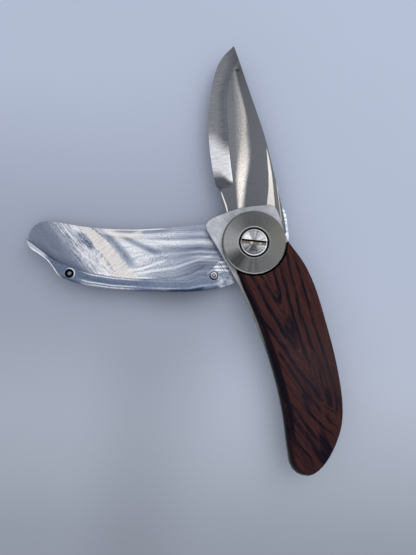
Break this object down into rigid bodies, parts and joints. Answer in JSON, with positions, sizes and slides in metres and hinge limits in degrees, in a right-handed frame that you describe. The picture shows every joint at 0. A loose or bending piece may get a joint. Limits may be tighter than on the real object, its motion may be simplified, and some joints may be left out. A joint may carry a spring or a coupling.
{
  "type": "folding pocket knife",
  "caption": "Folding pocket knife with a curved split handle whose halves and blade swing about a large pivot disc; wooden scales, polished pocket, drop-point blade.",
  "frame": {"origin": "where the pivot's axis meets the surface that the knife lies on, at the middle of the rear bolt head's flat face", "axes": "+Z along the pivot's axis, up from the surface; the rear handle half points along -X; the open blade points mostly along +Y"},
  "size_m": [0.1312, 0.1754, 0.0142],
  "materials": {
    "polished_aluminium": "fly-cut and polished",
    "satin_aluminium": "satin",
    "rosewood": "oiled, satin sheen",
    "blade_steel": "satin, ground across",
    "turned_steel": "turned, fine circular lines",
    "bright_steel": "bright turned",
    "spring_steel": "plain",
    "bronze": "plain"
  },
  "bodies": {
    "rear_half": {"rear_frame": "polished_aluminium", "rear_scale": "rosewood", "rear_scale_pin_1": "spring_steel", "rear_scale_pin_2": "spring_steel", "rear_stop_pin": "bright_steel", "detent_spring": "spring_steel", "detent_plug": "spring_steel", "rear_disc": "turned_steel", "pivot_barrel": "turned_steel", "rear_washer": "bronze", "front_washer": "bronze", "spring_washer": "spring_steel", "front_disc": "turned_steel", "pivot_screw": "bright_steel"},
    "catch_ball": {"detent_ball": "bright_steel"},
    "blade": {"blade": "blade_steel"},
    "front_half": {"front_frame": "satin_aluminium", "front_scale": "rosewood", "front_scale_pin_1": "spring_steel", "front_scale_pin_2": "spring_steel", "front_stop_pin": "bright_steel"}
  },
  "joints": [
    {"name": "blade_swing", "type": "hinge", "parent": "rear_half", "child": "blade", "pos_m": [0, 0, 0.0071], "axis": [0, 0, 1], "range_deg": [-105.6, 82.3]},
    {"name": "front_half_swing", "type": "hinge", "parent": "blade", "child": "front_half", "pos_m": [0, 0, 0.0071], "axis": [0, 0, 1], "range_deg": [-187.9, 0]},
    {"name": "ball_press", "type": "slide", "parent": "rear_half", "child": "catch_ball", "axis": [0, 0, 1], "range_m": [-0.00025, 0], "stiffness_N_per_m": 2000, "springref_m": 0.0005}
  ]
}
